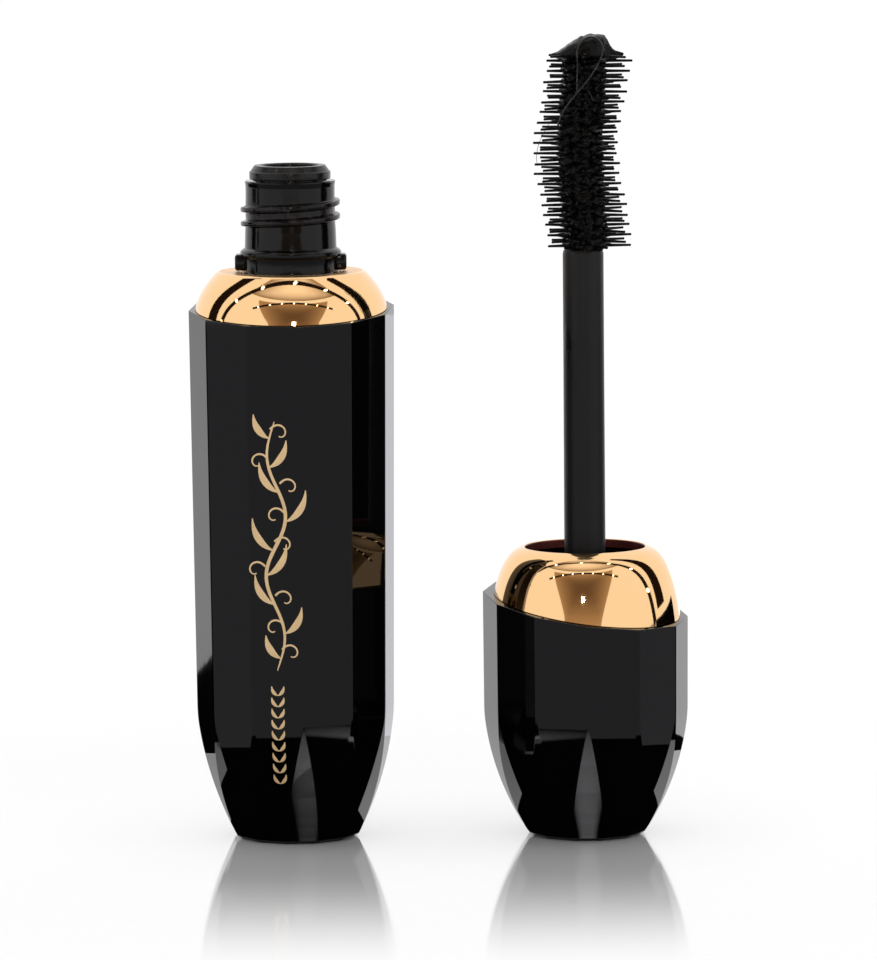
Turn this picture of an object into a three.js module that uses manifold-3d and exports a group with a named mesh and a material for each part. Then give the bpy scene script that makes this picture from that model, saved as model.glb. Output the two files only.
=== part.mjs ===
// Mascara tube, opened: the bottle stands on its foot and the applicator stands beside it on its
// closed end, brush up. Millimetres, +Z up, origin at the centre of the bottle's foot; the
// applicator stands at +X and the ornamented front of the bottle faces -Y.

import * as THREE from 'three';
import { mergeVertices } from 'three/addons/utils/BufferGeometryUtils.js';
import Module from 'manifold-3d';

const wasm = await Module();
wasm.setup();

// ---- driving dimensions (mm, degrees) ----------------------------------------------------------

const GAP = 0.35;                  // air between pieces that touch on the real tube
const ROUND = 32;                  // flats on a turned piece
const FACETS = 12;                 // flat sides of both outer shells
const HALF_FACET = Math.PI / FACETS;

const BOTTLE = {
  footRadius: 7.98, taperTop: 17.5, taperRadius: 12.4, cutRadius: 12.87,
  cutHeight: 66.5, slopeX: 0.003, slopeY: 0.1, edgeAzimuth: 5.6,
};
const CAP = {
  footRadius: 7.5, taperTop: 16.5, taperRadius: 12.8, cutRadius: 12.86,
  cutHeight: 28.97, slopeX: -0.131, slopeY: 0.095, edgeAzimuth: 0,
};
const PETAL_TOP = 15.6;            // height where the corner facets start
const PETAL_DEPTH = 0.53;          // how much they take off each corner at the foot
const EDGE_EASE = 0.03;            // the same on the upper, crisp corners
const FOOT_EASE = 0.35;            // rounded edge round each foot
const SHELL_FLOOR = 1.2;
const RIM_BORE = 11.4;             // inside radius of each shell where its collar plugs in

const AXIS_DISTANCE = 36.4;        // between the bottle and the applicator beside it
const COLLAR_TOP = 70.9;           // bottle collar's rim
const CAP_RIM = 36.25;             // cap collar's rim, the applicator standing on its head
const CLOSED_SUM = COLLAR_TOP + GAP + CAP_RIM;   // height in the bottle + height in the cap, closed

const NECK = { root: 5.56, bore: 4.6, top: 82.4, base: 6.3, baseTop: 73.2, ringTop: 73.9 };
const LUG = { reach: 6.94, width: 1.8 };
const THREAD = { lead: 1.75, startAngle: 2.6, crest: 6.2, from: 76.9, turns: 1.9, root: 0.4, tip: 0.18 };
const CAP_THREAD = { wall: 6.6, crest: 5.95, top: 79.65, turns: 0.6, root: 0.34, tip: 0.14 };
const CLOSING_TURN = 504.4;        // brings both shells' facets and slanted edges into line
const WIPER = { flange: 5.06, top: 84.3, mouth: 3.45, lip: 3.0, bottom: 66.5 };
const VIAL = { radius: 8.6, inside: 7.5, floor: 6.0, bottom: 5.0, shoulder: 63.5 };
const FILL_TOP = 30;

const STEM = { radius: 2.55, top: 73.6, socket: 1.55, socketDepth: 6.5 };
const BRUSH = {
  core: 1.45, tipHeight: 98.6, firstRow: 74.6, lastRow: 97.9, rowPitch: 1.27, columns: 6,
  reach: 5.1, bow: 1.05, bristle: 0.2,
};

const BLACK = 0x0b0b0d;
const GOLD = 0xe8b878;

// ---- shared shape makers -----------------------------------------------------------------------

// Turns every face outwards: a closed surface whose signed volume is negative is inside out.
function facingOut(geometry) {
  const place = geometry.attributes.position;
  const index = geometry.index.array;
  const corner = [new THREE.Vector3(), new THREE.Vector3(), new THREE.Vector3()];
  let volume = 0;
  for (let i = 0; i < index.length; i += 3) {
    corner.forEach((point, k) => point.fromBufferAttribute(place, index[i + k]));
    volume += corner[0].dot(corner[1].clone().cross(corner[2]));
  }
  if (volume < 0) {
    for (let i = 0; i < index.length; i += 3) {
      [index[i], index[i + 1]] = [index[i + 1], index[i]];
    }
  }
  return geometry;
}

// A solid turned about Z from its outline of [radius, height] points.
function turned(outline, flats = ROUND) {
  const points = outline.map(([radius, height]) => new THREE.Vector2(radius, height));
  const geometry = new THREE.LatheGeometry(points, flats);
  geometry.rotateX(Math.PI / 2);
  return facingOut(geometry);
}

// A ring-shaped solid: the outline closes on itself and never reaches the axis.
function turnedRing(outline, flats = ROUND) {
  return turned([...outline, outline[0]], flats);
}

// One closed skin through rings of equally many points, with the first and last ring filled in.
function lofted(rings) {
  const count = rings[0].length;
  const middle = (ring) => ring.reduce((sum, p) => sum.add(p), new THREE.Vector3()).divideScalar(count);
  const points = [...rings.flat(), middle(rings[0]), middle(rings[rings.length - 1])];
  const firstMiddle = rings.length * count;
  const lastRing = (rings.length - 1) * count;
  const index = [];
  for (let k = 0; k < count; k += 1) {
    const next = (k + 1) % count;
    for (let r = 0; r < rings.length - 1; r += 1) {
      const a = r * count;
      const b = a + count;
      index.push(a + k, a + next, b + next, a + k, b + next, b + k);
    }
    index.push(firstMiddle, next, k, firstMiddle + 1, lastRing + k, lastRing + next);
  }
  const geometry = new THREE.BufferGeometry().setFromPoints(points);
  geometry.setIndex(index);
  return facingOut(geometry);
}

// A smooth run of [radius, height] points through a few given ones.
function smoothRun(points, steps) {
  const curve = new THREE.SplineCurve(points.map(([r, z]) => new THREE.Vector2(r, z)));
  return curve.getPoints(steps).map((p) => [p.x, p.y]);
}

function toSolid(geometry) {
  const bare = geometry.index ? geometry.clone() : mergeVertices(geometry);
  bare.deleteAttribute('normal');
  bare.deleteAttribute('uv');
  const merged = mergeVertices(bare, 1e-4);
  const index = [];
  for (let i = 0; i < merged.index.count; i += 3) {
    const [a, b, c] = [0, 1, 2].map((k) => merged.index.getX(i + k));
    if (a !== b && b !== c && c !== a) {
      index.push(a, b, c);
    }
  }
  return new wasm.Manifold(new wasm.Mesh({
    numProp: 3,
    vertProperties: Float32Array.from(merged.attributes.position.array),
    triVerts: Uint32Array.from(index),
  }));
}

function fromSolid(solid) {
  const mesh = solid.getMesh();
  const geometry = new THREE.BufferGeometry();
  geometry.setAttribute('position', new THREE.BufferAttribute(mesh.vertProperties, mesh.numProp));
  geometry.setIndex(new THREE.BufferAttribute(mesh.triVerts, 1));
  return geometry;
}

function joined(first, others) {
  return fromSolid(others.reduce((sum, piece) => sum.add(toSolid(piece)), toSolid(first)));
}

function cut(body, tool) {
  return fromSolid(toSolid(body).subtract(toSolid(tool)));
}

// ---- the two faceted shells --------------------------------------------------------------------

function cutPlane(shell, x, y) {
  return shell.cutHeight + shell.slopeX * x + shell.slopeY * y;
}

// Radius of the main facets' corners: straight draft above, an arc that starts upright below.
function cornerRadius(shell, z) {
  if (z >= shell.taperTop) {
    const along = (z - shell.taperTop) / (shell.cutHeight - shell.taperTop);
    return THREE.MathUtils.lerp(shell.taperRadius, shell.cutRadius, along);
  }
  const fall = shell.taperRadius - shell.footRadius;
  const arc = (shell.taperTop ** 2 + fall ** 2) / (2 * fall);
  return shell.taperRadius - arc + Math.sqrt(arc ** 2 - (shell.taperTop - z) ** 2);
}

function petalDepth(z) {
  const down = Math.max(0, 1 - z / PETAL_TOP);
  return Math.max(EDGE_EASE, PETAL_DEPTH * Math.sin(down * Math.PI / 2));
}

// One level of the outside: twelve corners, each cut flat by its narrow corner facet.
function facetRing(shell, z, inset = 0) {
  const depth = petalDepth(z);
  const flat = cornerRadius(shell, z) - depth - inset;
  const half = Math.min(depth / Math.tan(HALF_FACET), 0.97 * flat * Math.tan(HALF_FACET));
  const ring = [];
  for (let k = 0; k < FACETS; k += 1) {
    const turn = THREE.MathUtils.degToRad(shell.edgeAzimuth - 90) + k * 2 * HALF_FACET;
    for (const side of [-half, half]) {
      ring.push(new THREE.Vector3(
        flat * Math.cos(turn) - side * Math.sin(turn),
        flat * Math.sin(turn) + side * Math.cos(turn),
        z,
      ));
    }
  }
  return ring;
}

// One level of the bore: evenly spaced points, two for each corner of the outside.
function roundRing(shell, radius, z) {
  const start = THREE.MathUtils.degToRad(shell.edgeAzimuth - 90) - HALF_FACET / 2;
  return Array.from({ length: 2 * FACETS }, (_, k) => new THREE.Vector3(
    radius * Math.cos(start + k * HALF_FACET),
    radius * Math.sin(start + k * HALF_FACET),
    z,
  ));
}

function ontoCut(shell, ring) {
  return ring.map((p) => new THREE.Vector3(p.x, p.y, cutPlane(shell, p.x, p.y)));
}

function facetedShell(shell, bore) {
  const levels = [FOOT_EASE, 2, 4, 6, 8, 10, 12, 14, PETAL_TOP, shell.taperTop];
  const outside = levels.map((z) => facetRing(shell, z));
  const rim = ontoCut(shell, facetRing(shell, shell.cutHeight));
  const rimInside = ontoCut(shell, roundRing(shell, RIM_BORE, shell.cutHeight));
  const inside = bore.map(([radius, z]) => roundRing(shell, radius, z));
  return lofted([facetRing(shell, 0, FOOT_EASE), ...outside, rim, rimInside, ...inside]);
}

function bottleShell() {
  const ledge = 57;
  return facetedShell(BOTTLE, [
    [RIM_BORE, ledge], [10.95, ledge - 1], [10.8, 15], [10.2, 11], [9.1, 7], [7.6, 3.4],
    [7.4, SHELL_FLOOR],
  ]);
}

function capShell() {
  const ledge = 18;
  return facetedShell(CAP, [
    [RIM_BORE, ledge], [11.0, ledge - 1], [10.8, 13], [10.0, 9.5], [8.9, 6.5], [7.6, 3.6],
    [7.2, SHELL_FLOOR],
  ]);
}

// ---- collars -----------------------------------------------------------------------------------

// Everything below the shell's slanted edge and outside the collar's plug.
function edgeTrimmer(shell, plugRadius) {
  const bottom = -10;
  const wide = 20;
  const tube = turnedRing([
    [plugRadius, bottom], [wide, bottom], [wide, shell.cutHeight], [plugRadius, shell.cutHeight],
  ]);
  const place = tube.attributes.position;
  for (let i = 0; i < place.count; i += 1) {
    if (place.getZ(i) > bottom + 1) {
      place.setZ(i, cutPlane(shell, place.getX(i), place.getY(i)) + GAP);
    }
  }
  return tube;
}

const PLUG = RIM_BORE - GAP;

function bottleCollar() {
  const dome = smoothRun([[9.3, 70.75], [10.7, 69.1], [11.6, 67.6], [12.15, 66.4], [12.3, 64]], 10);
  const body = turnedRing([
    [8.95, COLLAR_TOP], ...dome, [12.3, 62], [PLUG, 62], [PLUG, 58], [10.1, 58], [10.1, 66.6],
    [9.2, 68.6], [7.6, 69.3], [7.6, 67.4], [NECK.base + GAP, 67.4], [NECK.base + GAP, 70.7],
  ]);
  return cut(body, edgeTrimmer(BOTTLE, PLUG));
}

function capCollar() {
  const dome = smoothRun([[8.0, 36.15], [9.3, 35.35], [10.5, 33.7], [11.25, 31.9], [11.8, 28.5],
    [12.1, 25.5]], 12);
  const body = turnedRing([
    [7.7, CAP_RIM], ...dome, [12.1, 23], [PLUG, 23], [PLUG, 21.8], [10.1, 21.8], [10.1, 32.2],
    [8.05, 34.4], [8.05, 34.8], [7.5, 35.2], [7.5, 36.1],
  ]);
  return cut(body, edgeTrimmer(CAP, PLUG));
}

// ---- threads -----------------------------------------------------------------------------------

// A single-start thread: a trapezoid ridge from the wall to the crest, climbing right-handed.
function threadRidge(thread, wall, start) {
  const steps = Math.ceil(thread.turns * 24);
  const section = [
    [wall, -thread.root], [thread.crest, -thread.tip], [thread.crest, thread.tip], [wall, thread.root],
  ];
  const rings = [];
  for (let i = 0; i <= steps; i += 1) {
    const turn = start + thread.turns * 2 * Math.PI * i / steps;
    const lift = thread.from + THREAD.lead * (turn - start) / (2 * Math.PI);
    rings.push(section.map(([radius, dz]) => new THREE.Vector3(
      radius * Math.cos(turn),
      radius * Math.sin(turn),
      lift + dz,
    )));
  }
  return lofted(rings);
}

// ---- bottle ------------------------------------------------------------------------------------

// The two stop blocks at the foot of the neck.
function neckLug(side) {
  const block = new THREE.BoxGeometry(2, LUG.width, NECK.baseTop - COLLAR_TOP - GAP);
  block.translate(side * (LUG.reach - 1), 0, (NECK.baseTop + COLLAR_TOP + GAP) / 2);
  return block;
}

function vial() {
  const body = turned([
    [0, VIAL.bottom], [6.8, VIAL.bottom], [8.1, 6.6], [VIAL.radius, 8.6],
    [VIAL.radius, VIAL.shoulder], [NECK.base, 66.2], [NECK.base, NECK.baseTop],
    [6.25, NECK.ringTop], [NECK.root, NECK.ringTop + 0.2], [NECK.root, NECK.top - 0.2],
    [NECK.root - 0.2, NECK.top], [NECK.bore, NECK.top], [NECK.bore, 65.2],
    [VIAL.inside, 62.4], [VIAL.inside, 8.2], [6.2, VIAL.floor], [0, VIAL.floor],
  ]);
  const ridge = threadRidge(THREAD, NECK.root - 0.15, THREAD.startAngle);
  return joined(body, [ridge, neckLug(-1), neckLug(1)]);
}

function wiper() {
  const sleeve = NECK.bore - GAP;
  const bead = NECK.top + 0.3;
  return turnedRing([
    [WIPER.flange, bead], [WIPER.flange, 83.6], [4.4, WIPER.top], [WIPER.mouth + 0.15, WIPER.top],
    [WIPER.mouth, 84.1], [WIPER.mouth, 69.5], [WIPER.lip, 67.4], [WIPER.lip, WIPER.bottom],
    [WIPER.lip + 0.5, WIPER.bottom], [sleeve, 69.5], [sleeve, bead],
  ]);
}

function weight(radius, top) {
  const bottom = SHELL_FLOOR + GAP;
  const ease = 0.4;
  return turned([
    [0, bottom], [radius - ease, bottom], [radius, bottom + ease], [radius, top - ease],
    [radius - ease, top], [0, top],
  ]);
}

function mascaraFill() {
  const radius = VIAL.inside - GAP;
  return turned([[0, VIAL.floor + GAP], [5.8, VIAL.floor + GAP], [radius, 8.4], [radius, FILL_TOP],
    [0, FILL_TOP]]);
}

// ---- applicator, standing on its head ----------------------------------------------------------

// Height of a point of the cap when a point at this height in the closed bottle touches it.
function inCap(bottleHeight) {
  return CLOSED_SUM - bottleHeight;
}

const SEAL = { inside: 3.8, outside: 5.5, thick: 1.0 };
const ROOF = inCap(WIPER.top + 0.3) - SEAL.thick - 0.3;

function innerCap() {
  const skirt = CAP_THREAD.wall + 1.05;
  const web = ROOF - 1.8;
  const body = turnedRing([
    [2.35, 13], [4.2, 13], [4.2, web], [10.7, web], [10.7, web + 1], [skirt, web + 1],
    [skirt, inCap(73.7)], [CAP_THREAD.wall, inCap(73.7)], [CAP_THREAD.wall, ROOF], [2.35, ROOF],
  ]);
  const thread = { ...CAP_THREAD, from: inCap(CAP_THREAD.top) };
  return joined(body, [threadRidge(thread, CAP_THREAD.wall + 0.2, capThreadStart(thread.from))]);
}

// The angle at which the cap's ridge starts, so that once the cap has been turned over and screwed
// down it runs midway between the turns of the neck's ridge.
function capThreadStart(from) {
  const midway = THREAD.from + THREAD.lead / 2;
  const climbed = 2 * Math.PI * (midway + from - CLOSED_SUM) / THREAD.lead;
  return Math.PI - THREE.MathUtils.degToRad(CLOSING_TURN) - THREAD.startAngle + climbed;
}

function gasket() {
  const bottom = ROOF + 0.3;
  return turnedRing([
    [SEAL.inside, bottom], [SEAL.outside, bottom], [SEAL.outside, bottom + SEAL.thick],
    [SEAL.inside, bottom + SEAL.thick],
  ]);
}

function stem() {
  const collar = ROOF + 0.3;
  const socketFloor = STEM.top - STEM.socketDepth;
  const ease = 0.45;
  return turned([
    [0, 13.4], [2.0, 13.4], [2.0, collar], [3.4, collar], [3.4, collar + 0.8],
    [STEM.radius, collar + 0.8], [STEM.radius, STEM.top - ease],
    [STEM.radius - ease, STEM.top], [STEM.socket, STEM.top], [STEM.socket, socketFloor],
    [0, socketFloor],
  ], 24);
}

// Distance from the stem's axis to the brush's middle line, which bows towards -X at half height.
function brushBow(z) {
  const along = (z - BRUSH.firstRow) / (BRUSH.lastRow - BRUSH.firstRow);
  return -BRUSH.bow * Math.cos((along - 0.5) * 2 * Math.PI);
}

function bristle(z, turn) {
  const reach = BRUSH.reach + brushBow(z) * Math.cos(turn);
  const spike = new THREE.CylinderGeometry(BRUSH.bristle * 0.6, BRUSH.bristle, reach, 4);
  spike.translate(0, reach / 2, 0);
  spike.rotateZ(-Math.PI / 2);
  spike.rotateZ(turn);
  spike.translate(0, 0, z);
  return spike;
}

function brush() {
  const pin = STEM.socket - GAP;
  const core = turned([
    [0, STEM.top - STEM.socketDepth + 0.5], [pin, STEM.top - STEM.socketDepth + 0.5],
    [pin, STEM.top + 0.3], [BRUSH.core, STEM.top + 0.3], [BRUSH.core, BRUSH.tipHeight - 1.2],
    [0.9, BRUSH.tipHeight - 0.2], [0, BRUSH.tipHeight],
  ], 12);
  const bristles = [];
  const rows = Math.round((BRUSH.lastRow - BRUSH.firstRow) / BRUSH.rowPitch);
  for (let row = 0; row <= rows; row += 1) {
    const z = THREE.MathUtils.lerp(BRUSH.firstRow, BRUSH.lastRow, row / rows);
    for (let column = 0; column < BRUSH.columns; column += 1) {
      bristles.push(bristle(z, (column + (row % 2) / 2) * 2 * Math.PI / BRUSH.columns));
    }
  }
  return joined(core, bristles);
}

// Product on the tip: a soft drop over the core's end, and one strand drooping down the front.
function productDrop() {
  const bottom = BRUSH.tipHeight + 0.3;
  return turned([[0, bottom], [2.2, bottom], [2.4, bottom + 0.4], [1.6, bottom + 1.0],
    [0, bottom + 1.35]], 12);
}

function productStrand() {
  const path = new THREE.CatmullRomCurve3([
    new THREE.Vector3(1.6, -6.6, 97.5), new THREE.Vector3(2.4, -6.9, 96.2),
    new THREE.Vector3(1.4, -6.9, 94.4), new THREE.Vector3(0.2, -6.7, 92.4),
  ]);
  const round = new THREE.Shape();
  round.absarc(0, 0, 0.2, 0, 2 * Math.PI);
  const settings = { steps: 8, curveSegments: 3, bevelEnabled: false, extrudePath: path };
  return new THREE.ExtrudeGeometry(round, settings);
}

// ---- the assembly ------------------------------------------------------------------------------

function piece(name, geometry, color, roughness, metalness) {
  const mesh = new THREE.Mesh(geometry, new THREE.MeshStandardMaterial({ color, roughness, metalness }));
  mesh.name = name;
  return mesh;
}

const bottle = new THREE.Group();
bottle.add(
  piece('bottle_shell', bottleShell(), BLACK, 0.05, 0),
  piece('bottle_weight', weight(6.9, VIAL.bottom - GAP), 0x8c8d90, 0.4, 1),
  piece('vial', vial(), BLACK, 0.2, 0),
  piece('wiper', wiper(), 0x101012, 0.35, 0),
  piece('bottle_collar', bottleCollar(), GOLD, 0.08, 1),
  piece('mascara_fill', mascaraFill(), 0x050506, 0.15, 0),
);

const applicator = new THREE.Group();
applicator.position.x = AXIS_DISTANCE;
applicator.add(
  piece('cap_shell', capShell(), BLACK, 0.05, 0),
  piece('cap_weight', weight(6.6, 6.0), 0x8c8d90, 0.4, 1),
  piece('inner_cap', innerCap(), 0x141214, 0.3, 0),
  piece('cap_gasket', gasket(), 0xe8e6e0, 0.6, 0),
  piece('cap_collar', capCollar(), GOLD, 0.08, 1),
  piece('stem', stem(), BLACK, 0.3, 0),
  piece('brush', brush(), BLACK, 0.2, 0),
  piece('product_drop', productDrop(), 0x050506, 0.1, 0),
  piece('product_strand', productStrand(), 0x050506, 0.1, 0),
);

const tube = new THREE.Group();
tube.add(bottle, applicator);

export default tube;
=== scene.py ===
import math
import random

import bmesh
import bpy
from mathutils import Matrix, Vector, noise


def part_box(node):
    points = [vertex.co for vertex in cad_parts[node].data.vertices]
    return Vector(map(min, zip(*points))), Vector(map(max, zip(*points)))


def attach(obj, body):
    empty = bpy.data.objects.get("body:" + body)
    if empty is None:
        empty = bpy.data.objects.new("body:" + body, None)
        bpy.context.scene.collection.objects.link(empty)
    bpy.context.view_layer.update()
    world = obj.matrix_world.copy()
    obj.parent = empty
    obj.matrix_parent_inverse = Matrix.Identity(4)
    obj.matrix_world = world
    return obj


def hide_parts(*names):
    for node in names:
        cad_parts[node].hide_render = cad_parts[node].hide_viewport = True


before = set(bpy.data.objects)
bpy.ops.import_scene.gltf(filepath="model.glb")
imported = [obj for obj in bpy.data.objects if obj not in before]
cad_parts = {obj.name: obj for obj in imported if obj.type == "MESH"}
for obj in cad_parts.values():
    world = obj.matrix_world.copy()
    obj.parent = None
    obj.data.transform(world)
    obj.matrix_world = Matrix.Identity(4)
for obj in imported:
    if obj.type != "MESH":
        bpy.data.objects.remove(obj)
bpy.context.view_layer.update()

# ---- Bottle shell ------------------------------------------------------------------------------
# The outer shell of the bottle: ABS moulded with twelve flat sides, drafted towards a small flat
# foot, with a slanted top edge. It is lacquered gloss black and pressed over the inner bottle.

MM = 0.001
FACETS = 12
HALF_FACET = math.pi / FACETS
BOTTLE = {
    "foot_radius": 7.98, "taper_top": 17.5, "taper_radius": 12.4, "cut_radius": 12.87,
    "cut_height": 66.5, "slope": (0.003, 0.1), "first_corner": math.radians(5.6 - 90),
}
SHELL_BORE = 11.4
FOOT_EASE = 0.35
SOLE_RIM = 1.4
SOLE_STEP = 0.3
CORNER_FACET_TOP = 15.6
CORNER_FACET_DEPTH = 0.53
CRISP_EDGE = 0.03
EDGE_BEVEL = 0.045
RIM_EASE = [(0.1, 0.0), (0.045, 0.012), (0.012, 0.045), (0.0, 0.1)]


class Wire:
    """A shader socket that takes part in sums: an operator adds its Math node."""

    def __init__(self, tree, socket=None):
        self.tree = tree
        self.socket = socket

    def node(self, kind, settings=None, inputs=None, output=0):
        """Adds a node, its settings first and then its sockets, and gives one of its outputs."""
        made = self.tree.nodes.new("ShaderNode" + kind)
        for name, value in (settings or {}).items():
            setattr(made, name, value)
        for name, value in (inputs or {}).items():
            if isinstance(value, Wire):
                self.tree.links.new(value.socket, made.inputs[name])
            else:
                made.inputs[name].default_value = value
        return Wire(self.tree, made.outputs[output])

    def math(self, operation, *values):
        return self.node("Math", {"operation": operation}, dict(enumerate(values)))

    def __add__(self, other):
        return self.math("ADD", self, other)

    def __radd__(self, other):
        return self.math("ADD", other, self)

    def __sub__(self, other):
        return self.math("SUBTRACT", self, other)

    def __rsub__(self, other):
        return self.math("SUBTRACT", other, self)

    def __mul__(self, other):
        return self.math("MULTIPLY", self, other)

    def __rmul__(self, other):
        return self.math("MULTIPLY", other, self)

    def noise(self, scale, detail=2.0, roughness=0.5):
        """Cloudy noise over this vector, so many spots to a metre."""
        return self.node("TexNoise", None, {
            "Vector": self, "Scale": scale, "Detail": detail, "Roughness": roughness,
        })

    def stretched(self, x, y, z):
        """This vector with its axes scaled, for a grain that runs one way."""
        return self.node("Mapping", None, {"Vector": self, "Scale": (x, y, z)})

    def blend(self, first, second):
        """A colour that goes from the first to the second as this value goes from 0 to 1."""
        settings = {"data_type": "RGBA", "clamp_factor": True}
        return self.node("Mix", settings, {0: self, 6: (*first, 1), 7: (*second, 1)}, 2)


def new_finish(name, colour, **numbers):
    """A material's Principled shader with its even numbers set, and its Object coordinates."""
    material = bpy.data.materials.new(name)
    material.use_nodes = True
    tree = material.node_tree
    shader = tree.nodes["Principled BSDF"]
    shader.inputs["Base Color"].default_value = (*colour, 1)
    for socket, value in numbers.items():
        shader.inputs[socket.replace("_", " ")].default_value = value
    return material, shader, Wire(tree).node("TexCoord", output="Object")


def feed(shader, socket, wire):
    wire.tree.links.new(wire.socket, shader.inputs[socket])


def relief(shader, height, depth, strength=1.0):
    """Raises the surface by the height value, to the depth given in mm."""
    bump = height.node("Bump", None, {"Height": height, "Distance": depth * MM, "Strength": strength})
    feed(shader, "Normal", bump)


def gloss_lacquer():
    material, shader, place = new_finish("gloss_lacquer", (0.0008, 0.0008, 0.001), IOR=1.48)
    wipes = place.stretched(1, 1, 0.3).noise(160, 3)
    feed(shader, "Roughness", 0.012 + 0.035 * wipes)
    peel = place.noise(420, 2)
    relief(shader, peel, 0.008, 0.3)
    return material


def corner_radius(shell, z):
    """Radius of the shell's corners: straight draft above, an arc that starts upright below."""
    if z >= shell["taper_top"]:
        along = (z - shell["taper_top"]) / (shell["cut_height"] - shell["taper_top"])
        return shell["taper_radius"] + along * (shell["cut_radius"] - shell["taper_radius"])
    fall = shell["taper_radius"] - shell["foot_radius"]
    arc = (shell["taper_top"] ** 2 + fall ** 2) / (2 * fall)
    return shell["taper_radius"] - arc + math.sqrt(arc ** 2 - (shell["taper_top"] - z) ** 2)


def cut_height(shell, x, y):
    slope_x, slope_y = shell["slope"]
    return shell["cut_height"] + slope_x * x + slope_y * y


def onto_cut(shell, level, drop):
    """A level laid on the slanted top edge, or a drop below it."""
    return [Vector((p.x, p.y, cut_height(shell, p.x, p.y) - drop)) for p in level]


def facet_level(shell, z, inset=0.0):
    """One level of the outside: twelve corners, each cut flat by its narrow corner facet."""
    down = max(0.0, 1 - z / CORNER_FACET_TOP)
    depth = max(CRISP_EDGE, CORNER_FACET_DEPTH * math.sin(down * math.pi / 2))
    flat = corner_radius(shell, z) - depth - inset
    half = min(depth / math.tan(HALF_FACET), 0.94 * flat * math.tan(HALF_FACET))
    level = []
    for k in range(FACETS):
        turn = shell["first_corner"] + k * 2 * HALF_FACET
        out = Vector((math.cos(turn), math.sin(turn), 0))
        along = Vector((-math.sin(turn), math.cos(turn), 0))
        level += [out * flat + along * side + Vector((0, 0, z)) for side in (-half, half)]
    return level


def round_level(radius, z, count, start=0.0):
    """Evenly spaced points round the axis."""
    turns = [start + 2 * math.pi * k / count for k in range(count)]
    return [Vector((radius * math.cos(turn), radius * math.sin(turn), z)) for turn in turns]


def first_loop(mesh, level):
    """A closed loop of vertices on the points of a level, which are in mm."""
    loop = bmesh.ops.create_circle(mesh, cap_ends=False, radius=1, segments=len(level))["verts"]
    for vert, point in zip(loop, level):
        vert.co = point * MM
    return loop


def next_loop(mesh, loop, level):
    """Extrudes a closed loop once and puts the new vertices on the points of the next level."""
    edges = [mesh.edges.get(pair) for pair in zip(loop, loop[1:] + loop[:1])]
    fresh = {v for v in bmesh.ops.extrude_edge_only(mesh, edges=edges)["geom"]
             if isinstance(v, bmesh.types.BMVert)}
    grown = [next(e.other_vert(v) for e in v.link_edges if e.other_vert(v) in fresh) for v in loop]
    for vert, point in zip(grown, level):
        vert.co = point * MM
    return grown


def finished(name, mesh, finishes, body, stands_for, sharp=35, inside=None):
    """Closes the work on a piece: one clean mesh with its finishes, riding on its body."""
    bmesh.ops.remove_doubles(mesh, verts=mesh.verts, dist=0.0005 * MM)
    bmesh.ops.dissolve_degenerate(mesh, dist=0.0001 * MM, edges=mesh.edges)
    bmesh.ops.recalc_face_normals(mesh, faces=mesh.faces)
    if inside is not None:
        for face in mesh.faces:
            face.material_index = 1 if inside(face) else 0
    data = bpy.data.meshes.new(name)
    mesh.to_mesh(data)
    mesh.free()
    for finish in finishes:
        data.materials.append(finish)
    data.polygons.foreach_set("use_smooth", [True] * len(data.polygons))
    data.set_sharp_from_angle(angle=math.radians(sharp))
    piece = bpy.data.objects.new(name, data)
    bpy.context.scene.collection.objects.link(piece)
    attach(piece, body)
    if stands_for:
        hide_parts(*stands_for)
    return piece


def faceted_shell(shell, bore):
    """The moulded shell from its foot, up the outside, over the slanted rim and down the bore. The
    middle of its sole stands a step below the foot's rim."""
    mesh = bmesh.new()
    foot = first_loop(mesh, facet_level(shell, 0, FOOT_EASE))
    steps = math.ceil(shell["taper_top"])
    heights = [FOOT_EASE] + [shell["taper_top"] * k / steps for k in range(1, steps + 1)]
    loops = [foot]
    for z in heights:
        loops.append(next_loop(mesh, loops[-1], facet_level(shell, z)))
    for drop, inset in RIM_EASE:
        level = onto_cut(shell, facet_level(shell, shell["cut_height"], inset), drop)
        loops.append(next_loop(mesh, loops[-1], level))
    start = shell["first_corner"] - HALF_FACET / 2
    inner = loops[-1]
    for drop, inset in reversed(RIM_EASE):
        level = onto_cut(shell, round_level(SHELL_BORE + inset, 0, 2 * FACETS, start), drop)
        inner = next_loop(mesh, inner, level)
    for radius, z in bore:
        inner = next_loop(mesh, inner, round_level(radius, z, 2 * FACETS, start))
    mesh.faces.new(inner)
    sole = mesh.faces.new(foot)
    walls = loops[1:1 - len(RIM_EASE)]
    corners = [mesh.edges.get((low[k], high[k])) for low, high in zip(walls, walls[1:])
               for k in range(2 * FACETS)]
    bmesh.ops.inset_region(mesh, faces=[sole], thickness=SOLE_RIM * MM, depth=0)
    bmesh.ops.inset_region(mesh, faces=[sole], thickness=SOLE_STEP * MM, depth=-SOLE_STEP * MM)
    bmesh.ops.bevel(mesh, geom=corners, offset=EDGE_BEVEL * MM, offset_type="OFFSET", segments=2,
                    profile=0.5, affect="EDGES", clamp_overlap=False, material=-1)
    return mesh


BLACK_LACQUER = gloss_lacquer()
bottle_bore = [(SHELL_BORE, 57), (10.95, 56), (10.8, 15), (10.2, 11), (9.1, 7), (7.6, 3.4), (7.4, 1.2)]
bottle_shell = finished("bottle_overshell", faceted_shell(BOTTLE, bottle_bore), [BLACK_LACQUER],
                        "bottle", ["bottle_shell"])
bottle_shell.modifiers.new("flat_sides", "WEIGHTED_NORMAL").keep_sharp = True

# ---- Foil flourish -----------------------------------------------------------------------------
# A running flourish up one side of the bottle: leaves and loops on a waving stem, hot-stamped in
# gold foil on the lacquer. The foil is a skin a few hundredths of a millimetre thick.

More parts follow.
